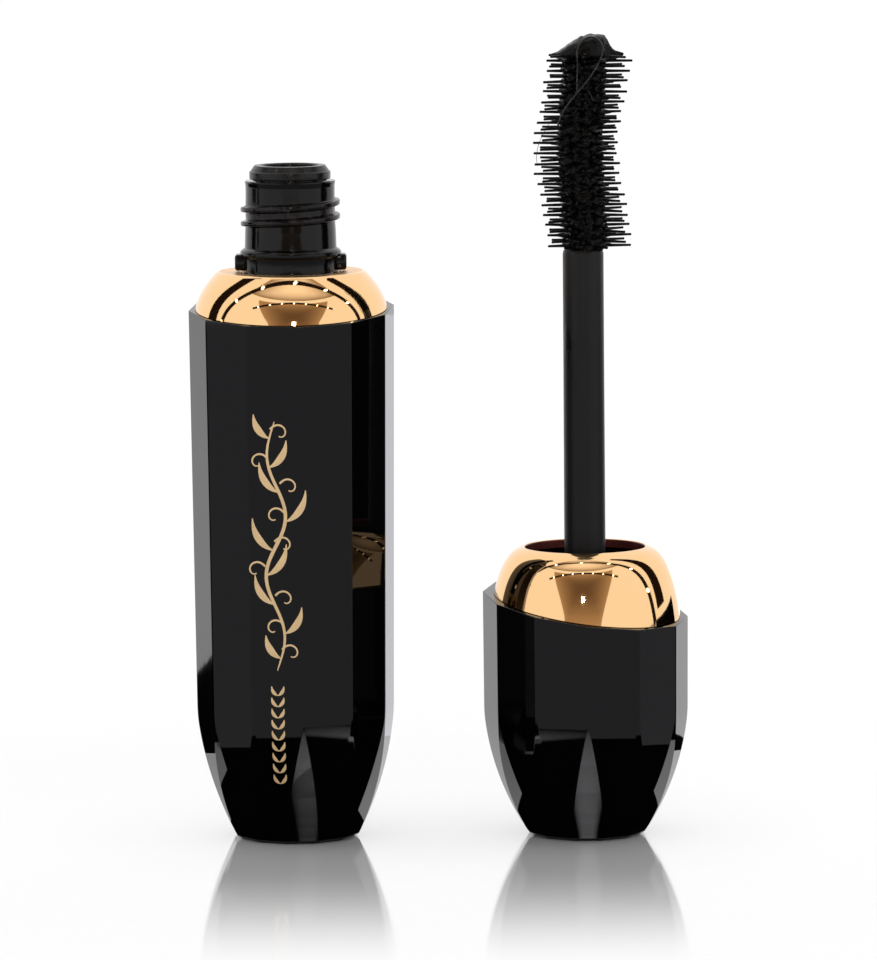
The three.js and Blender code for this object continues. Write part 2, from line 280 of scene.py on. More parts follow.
FOIL_LIFT = 0.012
FOIL_BULGE = 0.05
FOIL_FROM = 22.5
FOIL_TO = 53.5
BEADS_FROM, BEADS_TO = 8.2, 19.4
LEAF_STEPS = 8
CURL_STEPS = 14
CURL_TURN = 4.6
LEAVES = 9
BEADS = 9


def gold_foil():
    material, shader, place = new_finish("gold_foil", (0.75, 0.52, 0.27), Metallic=0.4)
    grain = place.noise(2600, 3)
    feed(shader, "Roughness", 0.3 + 0.14 * grain)
    feed(shader, "Base Color", place.noise(500).blend((0.68, 0.46, 0.23), (0.84, 0.61, 0.34)))
    relief(shader, grain, 0.004)
    return material


def drawn(points, widths, sides=2):
    """A mesh drawn as one smooth stroke through the points, in mm, as thick as the widths say."""
    curve = bpy.data.curves.new("stroke", "CURVE")
    curve.dimensions = "3D"
    curve.bevel_depth = MM
    curve.bevel_resolution = sides
    curve.use_fill_caps = True
    curve.resolution_u = 6
    spline = curve.splines.new("NURBS")
    spline.points.add(len(points) - 1)
    for knot, point, width in zip(spline.points, points, widths):
        knot.co = (*(Vector(point) * MM), 1)
        knot.radius = width
    spline.use_endpoint_u = True
    spline.order_u = 4
    holder = bpy.data.objects.new("stroke", curve)
    stroke = bpy.data.meshes.new_from_object(holder)
    bpy.data.objects.remove(holder)
    return stroke


def leaf_stroke(root, side, length, width):
    """One leaf that leaves the stem to a side and turns upwards, fat in its middle."""
    path, widths = [], []
    for k in range(LEAF_STEPS + 1):
        t = k / LEAF_STEPS
        path.append((root[0] + side * length * 0.66 * math.sin(t * math.pi / 2),
                     root[1] + length * t ** 1.5, 0))
        widths.append(0.05 + width * math.sin(math.pi * k / LEAF_STEPS) ** 1.3)
    return path, widths


def curl_stroke(root, side, size):
    """A tendril that winds up on itself."""
    path, widths = [], []
    for k in range(CURL_STEPS + 1):
        turn = 0.4 + CURL_TURN * k / CURL_STEPS
        reach = size * (1 - 0.74 * k / CURL_STEPS)
        path.append((root[0] - side * (size - reach * math.cos(turn)),
                     root[1] + 0.6 + reach * math.sin(turn), 0))
        widths.append(0.13 - 0.06 * k / CURL_STEPS)
    return path, widths


def flourish_strokes():
    """The strokes on a flat sheet: across, up and out of it, in mm, with their half widths."""
    steps = 60
    stem = []
    for k in range(steps + 1):
        along = k / steps
        swing = 1.3 * math.sin(along * 4 * math.pi) * (0.6 + 0.4 * math.sin(along * math.pi))
        stem.append((swing, FOIL_FROM + along * (FOIL_TO - FOIL_FROM), 0))
    strokes = [(stem, [0.05 + 0.17 * math.sin(math.pi * k / steps) ** 0.5 for k in range(steps + 1)])]
    for k in range(LEAVES):
        along = (k + 0.4) / LEAVES
        side = 1 if k % 2 else -1
        root = stem[round(along * steps)]
        strokes.append(leaf_stroke(root, side, 2.7 + 1.3 * math.sin(along * math.pi), 0.40))
        strokes.append(curl_stroke(root, side, 1.3))
    for k in range(BEADS):
        root = (0, BEADS_FROM + (BEADS_TO - BEADS_FROM) * k / (BEADS - 1))
        for side in (-1, 1):
            strokes.append(leaf_stroke(root, side, 1.15, 0.17))
    return strokes


def onto_facet(vert):
    """Lays a point of the flat sheet on the bottle's ornamented facet."""
    across, up, out = vert.co.x, vert.co.y, vert.co.z * FOIL_BULGE
    turn = BOTTLE["first_corner"] - HALF_FACET
    height = up / MM
    distance = (corner_radius(BOTTLE, height) * math.cos(HALF_FACET) + FOIL_LIFT) * MM + out
    vert.co = (distance * math.cos(turn) - across * math.sin(turn),
               distance * math.sin(turn) + across * math.cos(turn), up)


foil = bmesh.new()
for stroke_points, stroke_widths in flourish_strokes():
    foil.from_mesh(drawn(stroke_points, stroke_widths, 1))
for foil_vert in foil.verts:
    onto_facet(foil_vert)
finished("foil_flourish", foil, [gold_foil()], "bottle", [])

# ---- Bottle weight -----------------------------------------------------------------------------
# A zinc-plated steel disc pressed into the foot of the shell so that the bottle feels heavy.


def zinc_plate():
    material, shader, place = new_finish("zinc_plate", (0.5, 0.5, 0.52), Metallic=1.0)
    spangle = place.noise(900, 3)
    feed(shader, "Roughness", 0.3 + 0.25 * spangle)
    feed(shader, "Base Color", spangle.blend((0.40, 0.40, 0.42), (0.62, 0.62, 0.63)))
    relief(shader, place.noise(3000), 0.01)
    return material


def new_coat(node, finish):
    """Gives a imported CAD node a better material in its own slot."""
    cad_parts[node].data.materials.clear()
    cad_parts[node].data.materials.append(finish)


ZINC = zinc_plate()
new_coat("bottle_weight", ZINC)

# ---- Inner bottle and neck ---------------------------------------------------------------------
# The vial that holds the mascara, blow-moulded in glossy black polypropylene, with its neck: a
# single-start thread, a shoulder ring and two stop blocks that the cap's collar clears.

ROUND = 96
THREAD_LEAD = 1.75
THREAD_FROM = 76.9
THREAD_TURNS = 1.9
THREAD_START = 2.6
NECK_WALL = 5.56
THREAD_CREST = 6.2
LUG_SIZE = (2.2, 2.9, 2.0)
LUG_REACH = 5.85
LUG_HEIGHT = 72.25
LUG_EDGE = 0.35
FILM_HEIGHT = 0.0787


def neck_plastic():
    """Glossy black, with a grey-brown film of dried product on the upper part of the thread."""
    material, shader, place = new_finish("neck_plastic", (0.0009, 0.0008, 0.001), IOR=1.33)
    smudge = place.noise(520, 4, 0.6)
    off_film = smudge.math("ABSOLUTE", place.node("SeparateXYZ", None, {"Vector": place}, 2) - FILM_HEIGHT)
    film = smudge.node("MapRange", None, {
        "Value": off_film, "From Min": 0.0006, "From Max": 0.0017, "To Min": 1.0, "To Max": 0.0,
    })
    patches = smudge.node("MapRange", None, {"Value": smudge, "From Min": 0.46, "From Max": 0.62})
    feed(shader, "Base Color", (film * patches).blend((0.0009, 0.0008, 0.001), (0.022, 0.015, 0.017)))
    feed(shader, "Roughness", 0.05 + 0.14 * smudge + 0.25 * film * patches)
    relief(shader, place.noise(1500, 3), 0.006)
    return material


def eased(outline, ease, steps=4):
    """An outline with every corner turned into a short curve that starts and ends an ease away."""
    rounded = [outline[0]]
    for before, corner, after in zip(outline, outline[1:], outline[2:]):
        corner = Vector(corner)
        back, ahead = Vector(before) - corner, Vector(after) - corner
        start = corner + back * min(0.45, ease / back.length)
        end = corner + ahead * min(0.45, ease / ahead.length)
        for k in range(steps + 1):
            t = k / steps
            rounded.append(tuple(start * (1 - t) ** 2 + corner * (2 * t * (1 - t)) + end * t ** 2))
    return rounded + [outline[-1]]


def spun(mesh, outline, steps=ROUND):
    """Spins an outline of (radius, height) points, in mm, once round the axis."""
    verts = [mesh.verts.new((radius * MM, 0, z * MM)) for radius, z in outline]
    edges = [mesh.edges.new(pair) for pair in zip(verts, verts[1:])]
    bmesh.ops.spin(mesh, geom=verts + edges, cent=(0, 0, 0), axis=(0, 0, 1), angle=2 * math.pi,
                   steps=steps, use_merge=True)
    return mesh


def thread_ridge(mesh, wall, crest, start, lowest, turns):
    """A rounded ridge swept up the wall in a helix, its two ends run out into the wall."""
    outline = eased([(wall - 0.15, -0.55), (wall, -0.55), (wall + 0.2, -0.38), (crest, -0.3),
                     (crest, 0.3), (wall + 0.2, 0.38), (wall, 0.55), (wall - 0.15, 0.55)], 0.16, 3)
    verts = [mesh.verts.new((radius * MM, 0, (lowest + z) * MM)) for radius, z in outline]
    edges = [mesh.edges.new(pair) for pair in zip(verts, verts[1:] + verts[:1])]
    bmesh.ops.rotate(mesh, verts=verts, cent=(0, 0, 0), matrix=Matrix.Rotation(start, 3, "Z"))
    per_turn = 72
    steps = round(turns * per_turn)
    first = len(mesh.verts) - len(verts)
    bmesh.ops.spin(mesh, geom=verts + edges, cent=(0, 0, 0), axis=(0, 0, 1),
                   dvec=(0, 0, THREAD_LEAD * MM / per_turn), angle=turns * 2 * math.pi, steps=steps)
    mesh.verts.ensure_lookup_table()
    ridge = mesh.verts[first:]
    run_out = 4
    for place, vert in enumerate(ridge):
        step = place // len(outline)
        full = min(1.0, step / run_out, (steps - step) / run_out)
        radius = math.hypot(vert.co.x, vert.co.y)
        wanted = (wall - 0.15) * MM + (radius - (wall - 0.15) * MM) * full
        vert.co.x *= wanted / radius
        vert.co.y *= wanted / radius
    mesh.faces.new(ridge[:len(outline)])
    mesh.faces.new(ridge[-len(outline):])


def stop_block(mesh, side):
    """One of the two rounded blocks at the foot of the neck."""
    block = bmesh.ops.create_cube(mesh, size=MM)["verts"]
    bmesh.ops.scale(mesh, verts=block, vec=LUG_SIZE)
    bmesh.ops.translate(mesh, verts=block, vec=(side * LUG_REACH * MM, 0, LUG_HEIGHT * MM))
    edges = {edge for vert in block for edge in vert.link_edges}
    bmesh.ops.bevel(mesh, geom=list(edges), offset=LUG_EDGE * MM, offset_type="OFFSET", segments=4,
                    profile=0.5, affect="EDGES", clamp_overlap=True, material=-1)


NECK_PLASTIC = neck_plastic()
vial = spun(bmesh.new(), eased([
    (0, 5), (6.8, 5), (8.1, 6.6), (8.6, 8.6), (8.6, 63.5), (6.3, 66.2), (6.3, 70.6), (5.95, 71.1),
    (5.95, 72.9), (6.3, 73.1), (6.3, 73.6), (6.05, 73.85), (5.72, 74.05), (5.66, 76.2),
    (NECK_WALL, 77.6), (NECK_WALL, 81.7), (5.64, 82.25), (5.62, 82.38), (5.5, 82.4), (4.6, 82.4),
    (4.6, 65.2), (7.5, 62.4), (7.5, 8.2), (6.2, 6), (0, 6),
], 0.1))
thread_ridge(vial, NECK_WALL, THREAD_CREST, THREAD_START, THREAD_FROM, THREAD_TURNS)
stop_block(vial, -1)
stop_block(vial, 1)
finished("inner_bottle_and_neck", vial, [NECK_PLASTIC], "bottle", ["vial"], 50)

# ---- Wiper -------------------------------------------------------------------------------------
# The soft rubber insert pushed into the neck. Its flange is the top ring of the neck, and its lip,
# deep inside, strips the spare mascara from the brush and stem.


def wiper_rubber():
    material, shader, place = new_finish("wiper_rubber", (0.0015, 0.0015, 0.0018), IOR=1.38)
    film = place.noise(700, 3)
    feed(shader, "Roughness", 0.16 + 0.2 * film)
    grooves = place.stretched(0.1, 0.1, 1).noise(5200, 1)
    relief(shader, grooves, 0.01)
    return material


wiper = spun(bmesh.new(), eased([
    (4.25, 82.7), (4.98, 82.6), (5.06, 82.7), (5.06, 83.5), (4.98, 83.56), (4.9, 83.62),
    (4.5, 84.18), (4.42, 84.3), (3.62, 84.3), (3.46, 84.1), (3.45, 69.5), (3.0, 67.4), (3.0, 66.5),
    (3.5, 66.5), (4.25, 69.5), (4.25, 82.7),
], 0.04))
finished("wiper_insert", wiper, [wiper_rubber()], "bottle", ["wiper"], 50)

# ---- Bottle collar -----------------------------------------------------------------------------
# The domed collar round the neck: deep-drawn aluminium, polished and anodised pale gold. Its
# skirt plugs into the shell, and its lower edge follows the shell's slanted top.

COLLAR_GAP = 0.07
DOME_STEPS = 22
PLUG = SHELL_BORE - 0.35


def gold_mirror():
    material, shader, place = new_finish("gold_mirror", (0.94, 0.62, 0.32), Metallic=1.0)
    hairlines = place.stretched(1, 1, 14).noise(900, 3, 0.6)
    feed(shader, "Roughness", 0.018 + 0.05 * hairlines)
    feed(shader, "Base Color", place.noise(90).blend((0.93, 0.585, 0.28), (0.955, 0.63, 0.325)))
    relief(shader, place.noise(240, 1), 0.006, 0.5)
    return material


def satin_gold():
    """The collar's flat top, left as it was turned, with fine rings."""
    material, shader, place = new_finish("satin_gold", (0.94, 0.62, 0.33), Metallic=1.0)
    rings = place.stretched(1, 1, 0.1).noise(1800, 2)
    feed(shader, "Roughness", 0.32 + 0.12 * rings)
    relief(shader, rings, 0.004)
    return material


def smooth_run(points, along):
    """The point a share of the way along the curve that four points steer."""
    start, leave, arrive, end = (Vector(point) for point in points)
    rest = 1 - along
    return (start * rest ** 3 + leave * (3 * along * rest ** 2)
            + arrive * (3 * along ** 2 * rest) + end * along ** 3)


def domed_collar(shell, dome, rim, inner):
    """A collar from its rim, down the dome to the slanted edge, then round its skirt and bore."""
    mesh = bmesh.new()
    turns = [2 * math.pi * k / ROUND for k in range(ROUND)]
    ends = []
    for turn in turns:
        low, high = 0.0, 1.0
        for _ in range(30):
            middle = (low + high) / 2
            radius, z = smooth_run(dome, middle)
            edge = cut_height(shell, radius * math.cos(turn), radius * math.sin(turn)) + COLLAR_GAP
            low, high = (middle, high) if z > edge else (low, middle)
        ends.append(low)
    start = round_level(rim[0], rim[1], ROUND)
    loop = first_loop(mesh, start)
    for step in range(DOME_STEPS + 1):
        level = []
        for turn, end in zip(turns, ends):
            radius, z = smooth_run(dome, end * step / DOME_STEPS)
            level.append(Vector((radius * math.cos(turn), radius * math.sin(turn), z)))
        loop = next_loop(mesh, loop, level)
    skirt = [Vector((PLUG * math.cos(turn), PLUG * math.sin(turn), 0)) for turn in turns]
    for point in skirt:
        point.z = cut_height(shell, point.x, point.y) + COLLAR_GAP
    loop = next_loop(mesh, loop, skirt)
    for radius, z in inner:
        loop = next_loop(mesh, loop, round_level(radius, z, ROUND))
    next_loop(mesh, loop, start)
    return mesh


GOLD_MIRROR = gold_mirror()
bottle_collar = domed_collar(
    BOTTLE,
    [(9.25, 71.02), (10.95, 69.3), (12.25, 67.4), (12.3, 64)],
    (9.06, 71.1),
    [(PLUG, 58), (10.1, 58), (10.1, 66.6), (9.2, 68.6), (7.6, 69.3), (7.6, 67.4), (6.65, 67.4),
     (6.65, 70.4), (6.3, 70.75), (6.3, 70.95), (6.4, 71.05), (8.7, 71.1), (8.9, 71.12)])
finished("bottle_gold_collar", bottle_collar, [GOLD_MIRROR, satin_gold()], "bottle",
         ["bottle_collar"], 28,
         lambda face: face.calc_center_median().xy.length < 8.8 * MM)

# ---- Mascara in the bottle ---------------------------------------------------------------------
# The fill: a thick wet black cream that half fills the vial.


def wet_formula():
    material, shader, place = new_finish("wet_formula", (0.0007, 0.0006, 0.0007), IOR=1.25)
    lumps = place.noise(2100, 4, 0.6)
    feed(shader, "Roughness", 0.03 + 0.2 * lumps)
    relief(shader, lumps, 0.12)
    return material


WET_FORMULA = wet_formula()
new_coat("mascara_fill", WET_FORMULA)

# ---- Cap shell ---------------------------------------------------------------------------------
# The applicator's handle: the same twelve-sided lacquered ABS shell, shorter, standing on its
# closed end, with a more steeply slanted edge.

CAP = {
    "foot_radius": 7.5, "taper_top": 16.5, "taper_radius": 12.8, "cut_radius": 12.86,
    "cut_height": 28.97, "slope": (-0.131, 0.095), "first_corner": math.radians(-90),
}
weight_low, weight_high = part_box("cap_weight")
APPLICATOR = Vector(((weight_low.x + weight_high.x) / 2, 0, 0))


def beside(mesh):
    """Moves a piece of the applicator from the bottle's axis to its own."""
    bmesh.ops.translate(mesh, verts=mesh.verts, vec=APPLICATOR)
    return mesh


cap_bore = [(SHELL_BORE, 18), (11.0, 17), (10.8, 13), (10.0, 9.5), (8.9, 6.5), (7.6, 3.6), (7.2, 1.2)]
cap_shell = finished("cap_overshell", beside(faceted_shell(CAP, cap_bore)), [BLACK_LACQUER],
                     "applicator", ["cap_shell"])
cap_shell.modifiers.new("flat_sides", "WEIGHTED_NORMAL").keep_sharp = True
new_coat("cap_weight", ZINC)

# ---- Inner cap and its seal --------------------------------------------------------------------
# The liner moulded in polypropylene inside the cap: a web across the shell, a threaded skirt that
# screws on the neck, and a boss that grips the stem. A white foam ring in its roof seals the neck.

CAP_THREAD_TOP = 79.65
CLOSED_HEIGHT = 107.5
CLOSING_TURN = math.radians(504.4)


def sealing_foam():
    material, shader, place = new_finish("sealing_foam", (0.82, 0.81, 0.78))
    cells = place.noise(4000, 2)
    feed(shader, "Roughness", 0.6 + 0.3 * cells)
    relief(shader, cells, 0.03)
    return material


seal_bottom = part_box("cap_gasket")[0].z / MM
roof = seal_bottom - 0.3
skirt_top = CLOSED_HEIGHT - 73.7
liner = spun(bmesh.new(), eased([
    (2.35, roof), (2.35, 13), (4.2, 13), (4.2, roof - 1.8), (10.7, roof - 1.8), (10.7, roof - 0.8),
    (7.65, roof - 0.8), (7.65, skirt_top), (6.6, skirt_top), (6.6, roof), (2.35, roof),
], 0.15))
ridge_from = CLOSED_HEIGHT - CAP_THREAD_TOP
climbed = 2 * math.pi * (THREAD_FROM + THREAD_LEAD / 2 + ridge_from - CLOSED_HEIGHT) / THREAD_LEAD
ridge_start = math.pi - CLOSING_TURN - THREAD_START + climbed
thread_ridge(liner, 6.75, 5.95, ridge_start, ridge_from, 0.6)
finished("cap_liner", beside(liner), [NECK_PLASTIC], "applicator", ["inner_cap"], 50)
new_coat("cap_gasket", sealing_foam())

# ---- Cap collar --------------------------------------------------------------------------------
# The cap's own domed collar in the same gold. Inside its mouth the drawn metal is coloured a dull
# red-brown: a painted reflection of the cap's dark inside mirrored in the gold.


def painted_mouth_reflection():
    # Painted reflection: the dull red-brown stands in for the dark inside of the cap seen in the gold
    # mouth.
    material, shader, place = new_finish("painted_mouth_reflection", (0.16, 0.035, 0.03), Metallic=0.6)
    feed(shader, "Roughness", 0.22 + 0.2 * place.noise(900, 3))
    relief(shader, place.noise(2400, 2), 0.006)
    return material


cap_collar = domed_collar(
    CAP,
    [(7.95, 36.18), (10.0, 35.6), (11.6, 32.5), (12.1, 25.5)],
    (7.86, 36.22),
    [(PLUG, 21.8), (10.1, 21.8), (10.1, 32.2), (8.05, 34.4), (8.05, 34.8), (7.5, 35.2), (7.5, 36.1),
     (7.56, 36.2), (7.7, 36.25)])
finished("cap_gold_collar", beside(cap_collar), [GOLD_MIRROR, painted_mouth_reflection()], "applicator",
         ["cap_collar"], 28,
         lambda face: (face.calc_center_median() - APPLICATOR).xy.length < 7.6 * MM)

# ---- Stem --------------------------------------------------------------------------------------
# The rod: satin black polypropylene, moulded with a slight draft, snapped into the liner's boss.
# It carries smears of product near the brush.

STEM_TOP = 73.6
STEM_RADIUS = 2.55


def satin_stem():
    material, shader, place = new_finish("satin_stem", (0.004, 0.004, 0.0044), IOR=1.36)
    grain = place.stretched(1, 1, 0.25).noise(2400, 3)
    smears = place.stretched(1, 1, 0.35).noise(330, 5, 0.7)
    wet = smears.node("MapRange", None, {"Value": smears, "From Min": 0.56, "From Max": 0.68})
    feed(shader, "Roughness", 0.34 + 0.12 * grain - 0.14 * wet)
    feed(shader, "Base Color", wet.blend((0.0042, 0.0042, 0.0047), (0.0018, 0.0018, 0.002)))
    relief(shader, grain + 1.5 * wet, 0.012)
    return material


stem = spun(bmesh.new(), eased([
    (0, 13.4), (2.0, 13.4), (2.0, roof + 0.3), (3.4, roof + 0.3), (3.4, roof + 1.1),
    (STEM_RADIUS + 0.05, roof + 1.1), (STEM_RADIUS, 60), (STEM_RADIUS, STEM_TOP - 0.6),
    (STEM_RADIUS - 0.12, STEM_TOP - 0.2), (STEM_RADIUS - 0.45, STEM_TOP), (1.55, STEM_TOP),
    (1.55, STEM_TOP - 6.5), (0, STEM_TOP - 6.5),
], 0.12), 64)
finished("applicator_stem", beside(stem), [satin_stem()], "applicator", ["stem"], 50)

# ---- Brush -------------------------------------------------------------------------------------
# One soft elastomer moulding pushed into the stem: a core with twelve columns of thin bristles,
# staggered row by row, whose tips follow a gently bowed outline.

BRUSH_TIP = 98.6
FIRST_ROW, LAST_ROW = 73.95, 97.6
ROW_PITCH = 0.635
REACH = 5.22
BOW = 0.85
CORE = 1.45
seeded = random.Random(7)


def wet_elastomer():
    material, shader, place = new_finish("wet_elastomer", (0.001, 0.001, 0.0012), IOR=1.25)
    film = place.noise(1800, 3, 0.6)
    feed(shader, "Roughness", 0.12 + 0.3 * film)
    relief(shader, film, 0.02)
    return material


def brush_bow(z):
    """How far the brush's middle line stands from the stem's axis, bowed to one side half way up."""
    along = (z - FIRST_ROW) / (LAST_ROW - FIRST_ROW)
    return -BOW * math.cos((along - 0.5) * 2 * math.pi)


def spike(mesh, foot, tip, foot_radius, tip_radius, sides=6):
    """A thin cone from one point to another, in mm."""
    way = Vector(tip) - Vector(foot)
    turn = way.to_track_quat("Z", "Y").to_matrix().to_4x4()
    middle = Matrix.Translation((Vector(foot) + way / 2) * MM)
    return bmesh.ops.create_cone(mesh, cap_ends=True, segments=sides, radius1=foot_radius * MM,
                                 radius2=tip_radius * MM, depth=way.length * MM, matrix=middle @ turn)


def bristle_places():
    """Each bristle's height, turn and reach from the stem's axis, in mm."""
    rows = round((LAST_ROW - FIRST_ROW) / ROW_PITCH)
    for row in range(rows + 1):
        z = FIRST_ROW + (LAST_ROW - FIRST_ROW) * row / rows
        for column in range(FACETS // 2):
            turn = (column + (row % 2) / 2) * 4 * HALF_FACET
            yield z, turn, REACH + brush_bow(z) * math.cos(turn)


WET_ELASTOMER = wet_elastomer()
brush = spun(bmesh.new(), eased([
    (0, STEM_TOP - 6), (1.2, STEM_TOP - 6), (1.2, STEM_TOP + 0.2), (CORE, STEM_TOP + 0.4),
    (CORE, BRUSH_TIP - 1.2), (0.9, BRUSH_TIP - 0.2), (0, BRUSH_TIP),
], 0.2), 24)
for z, turn, reach in bristle_places():
    outward = Vector((math.cos(turn), math.sin(turn), 0))
    lean = Vector((seeded.uniform(-0.1, 0.1), seeded.uniform(-0.1, 0.1), seeded.uniform(-0.1, 0.08)))
    foot = outward * (CORE - 0.2) + Vector((0, 0, z))
    end = outward * (reach + seeded.uniform(-0.22, 0.08)) + lean + Vector((0, 0, z))
    spike(brush, foot, end, 0.24, 0.15)
    bmesh.ops.create_icosphere(brush, subdivisions=1, radius=0.18 * MM,
                               matrix=Matrix.Translation(end * MM))
finished("moulded_brush", beside(brush), [WET_ELASTOMER], "applicator", ["brush"],
         60)

# ---- Product on the brush ----------------------------------------------------------------------
# Mascara left on the brush: a lumpy mass round the core with a wet sheath on each bristle, a web
# drawn over the tip to one side, and a few threads that have run down the bristles.

MASS_RADIUS = 2.45


def lumpy_mass():
    """The mass round the core, its lumps following the rows and columns of bristles."""
    steps = 110
    low, high = FIRST_ROW - 0.75, LAST_ROW + 0.6
    outline = [(0, low)]
    for k in range(steps + 1):
        along = k / steps
        outline.append((MASS_RADIUS * min(1, 12 * along + 0.75, 9 * (1 - along) + 0.35),
                        low + along * (high - low)))
    mesh = spun(bmesh.new(), outline + [(0, high)], 72)
    for vert in mesh.verts:
        x, y, z = vert.co / MM
        radius = math.hypot(x, y)
        if radius > 0.4:
            turn = math.atan2(y, x)
            row = math.cos((z - FIRST_ROW) * math.pi / ROW_PITCH)
            knobs = 0.26 * row * math.cos(turn * FACETS / 2)
            lumps = 0.4 * noise.noise(Vector((x * 1.1, y * 1.1, z * 0.9)))
            fine = 0.3 * noise.noise(Vector((x * 3.7, y * 3.7, z * 3.7)))
            share = min(1.0, radius / MASS_RADIUS)
            grow = 1 + share * (knobs + lumps + fine) / radius
            vert.co.x = (x * grow + 0.5 * brush_bow(z) * share) * MM
            vert.co.y = y * grow * MM
    return mesh


mass = lumpy_mass()
for z, turn, reach in bristle_places():
    outward = Vector((math.cos(turn), math.sin(turn), 0))
    foot = outward * 1.9 + Vector((0, 0, z))
    end = outward * (3.05 + 0.5 * brush_bow(z) * math.cos(turn) + seeded.uniform(-0.5, 0.75))
    spike(mass, foot, end + Vector((0, 0, z + seeded.uniform(-0.15, 0.15))), 0.5, 0.17)
finished("product_mass", beside(mass), [WET_FORMULA], "applicator", [], 60)

WEB_HEIGHTS = [(-3.8, 0.1), (-2.9, 0.4), (-1.8, 1.25), (-0.1, 2.25), (1.3, 2.5), (3.1, 2.3),
               (3.3, 1.3), (4.0, 0.5), (5.2, 0.12)]
WEB_WIDTHS = [(-3.8, 0.15), (-2.6, 1.4), (-1.0, 2.4), (1.0, 2.6), (2.6, 1.7), (3.2, 0.7), (5.2, 0.16)]
WEB_BOTTOM = 97.75
WEB_DEPTH = 1.0
WEB_MIDDLE = 0.7
WEB_REACH = 4.5


def between(table, place):
    """A value read off a short table, straight between its entries."""
    for (left, low), (right, high) in zip(table, table[1:]):
        if place <= right:
            return low + (high - low) * max(0.0, place - left) / (right - left)
    return table[-1][1]


web = bmesh.new()
bmesh.ops.create_uvsphere(web, u_segments=48, v_segments=32, radius=1,
                          matrix=Matrix.Rotation(math.pi / 2, 4, "Y"))
for vert in web.verts:
    swell = math.sqrt(max(1e-4, 1 - min(1, vert.co.x ** 2)))
    x = WEB_MIDDLE + WEB_REACH * vert.co.x
    up, across = vert.co.z / swell, vert.co.y / swell
    crumple = 0.12 * noise.noise(Vector((x * 1.6, across * 2.2, up * 2)))
    height = between(WEB_HEIGHTS, x) if up > 0 else WEB_DEPTH * swell
    vert.co = Vector((x, between(WEB_WIDTHS, x) * across * (1 + crumple),
                      WEB_BOTTOM + height * up * (1 + crumple))) * MM
bmesh.ops.smooth_vert(web, verts=web.verts, factor=0.12, use_axis_x=True, use_axis_y=True,
                      use_axis_z=True)
finished("product_tip_web", beside(web), [WET_FORMULA], "applicator", ["product_drop"],
         60)


def wet_strand():
    material, shader, place = new_finish("wet_strand", (0.0016, 0.0014, 0.0016), IOR=1.5)
    feed(shader, "Roughness", 0.03 + 0.08 * place.noise(1500, 3))
    relief(shader, place.noise(2600, 2), 0.03)
    return material


threads = bmesh.new()
THREAD_PATHS = [
    ([(-0.7, -2.5, 97.4), (-0.65, -2.7, 98.9), (0.3, -1.9, 100.0), (1.7, -1.8, 100.05),
      (2.75, -2.6, 98.9), (2.3, -3.7, 97.2), (0.9, -4.9, 95.2), (0.0, -5.3, 94.0),
      (-1.4, -5.4, 92.5), (-2.7, -4.8, 90.6), (-3.1, -4.4, 89.2)], 0.11),
    ([(-0.6, -2.9, 98.0), (-0.65, -4.5, 96.4), (-0.7, -5.4, 94.8), (-0.75, -5.5, 93.5)], 0.07),
    ([(0.6, -5.2, 93.6), (1.0, -5.4, 92.9), (1.3, -5.3, 92.2)], 0.06),
    ([(-4.2, -2.3, 89.2), (-5.5, -1.9, 87.2), (-6.0, -1.6, 85.6), (-5.6, -1.5, 84.0)], 0.035),
]
for path, thickness in THREAD_PATHS:
    threads.from_mesh(drawn(path, [thickness] * len(path)))
finished("product_threads", beside(threads), [wet_strand()], "applicator", ["product_strand"],
         60)

# ---- Studio ------------------------------------------------------------------------------------
# A glossy white table, an even white room, and cards, a lamp and two hoops of small lamps round the
# tube, which only mirror-like surfaces see. The camera stands in front with a long lens, looking
# slightly down.

CENTRE = Vector((APPLICATOR.x / 2 - 0.05 * MM, 0, 44.7 * MM))
CAMERA_DISTANCE = 0.86
CAMERA_ELEVATION = math.radians(6.6)
CAMERA_ROLL = math.radians(-0.5)
FIELD_HEIGHT = 120 * MM
SENSOR = 36
CARD_DISTANCE = 300
HOOP_DISTANCE = 290
LAMP_DISTANCE = 285
HOOP_STEPS = 112
LAMP_SPACING = 16


def glossy_table():
    """White gloss that mirrors most close to the tube and turns matt further out."""
    material, shader, place = new_finish("glossy_table", (0.97, 0.97, 0.97), Specular_IOR_Level=0.0)
    along = place.node("SeparateXYZ", None, {"Vector": place}, 0) - APPLICATOR.x / 2
    beyond = along.math("MAXIMUM", along.math("ABSOLUTE", along) - APPLICATOR.x / 2, 0.0)
    away = place.node("SeparateXYZ", None, {"Vector": place}, 1)
    distance = away.math("SQRT", beyond * beyond + away * away)
    mirror = distance.node("MapRange", {"interpolation_type": "SMOOTHSTEP"}, {
        "Value": distance, "From Min": 0.025, "From Max": 0.095, "To Min": 0.66, "To Max": 0.0,
    })
    feed(shader, "Metallic", mirror)
    feed(shader, "Roughness", 0.05 + 0.03 * place.noise(30, 2))
    return material


table = bmesh.new()
bmesh.ops.create_grid(table, x_segments=2, y_segments=2, size=6)
bmesh.ops.translate(table, verts=table.verts, vec=(0, 0, -0.02 * MM))
table_data = bpy.data.meshes.new("table")
table.to_mesh(table_data)
table_data.materials.append(glossy_table())
table_top = bpy.data.objects.new("table", table_data)
bpy.context.scene.collection.objects.link(table_top)


def dome_arc(low, high, pieces=8, distance=CARD_DISTANCE):
    """Part of the card dome's outline, from one elevation in degrees to another."""
    ups = [math.radians(low + (high - low) * k / pieces) for k in range(pieces + 1)]
    return [(distance * math.cos(up), CENTRE.z / MM + distance * math.sin(up)) for up in ups]


